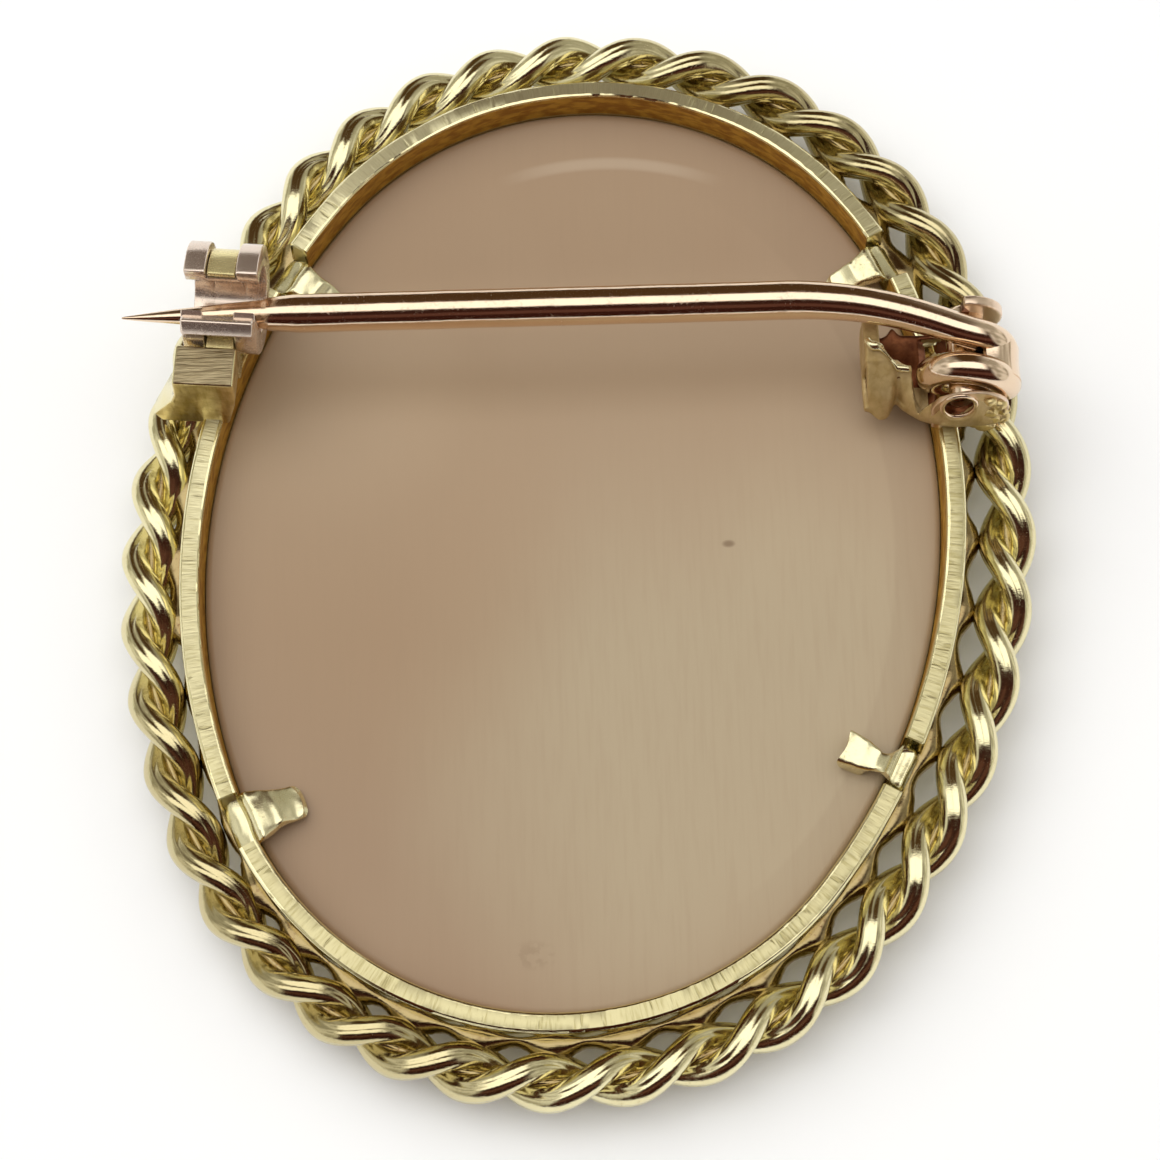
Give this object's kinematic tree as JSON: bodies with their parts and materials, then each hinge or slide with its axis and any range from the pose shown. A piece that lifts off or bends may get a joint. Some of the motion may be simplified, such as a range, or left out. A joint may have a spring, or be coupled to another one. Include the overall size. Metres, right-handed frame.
{
  "type": "cameo brooch",
  "caption": "Oval cameo brooch: carved shell in a gold bezel with a twisted rope frame, hinged pin and turning safety catch.",
  "frame": {"origin": "middle of the rope frame, at the height of the surface that the brooch's front lies on", "axes": "+X along the pin from its tip to its hinge, +Y across the pin towards the top of the oval, +Z out of the brooch's back; the carved front looks down along -Z"},
  "size_m": [0.0322, 0.0398, 0.0084],
  "materials": {
    "yellow_gold": "polished",
    "rose_gold": "polished",
    "shell": "satin"
  },
  "bodies": {
    "brooch": {"setting": "yellow_gold", "cameo": "shell", "rope_strand_a": "yellow_gold", "rope_strand_b": "yellow_gold"},
    "pin": {"pin_stem": "rose_gold"},
    "rotor": {"catch_rotor": "rose_gold"}
  },
  "joints": [
    {"name": "pin_hinge", "type": "hinge", "parent": "brooch", "child": "pin", "pos_m": [0.01365, 0.0059, 0.0051], "axis": [0, 1, 0], "range_deg": [0, 80]},
    {"name": "catch_turn", "type": "hinge", "parent": "brooch", "child": "rotor", "pos_m": [-0.01199, 0.0079, 0.00655], "axis": [-0.9962, 0.0872, 0], "range_deg": [0, 100]}
  ]
}
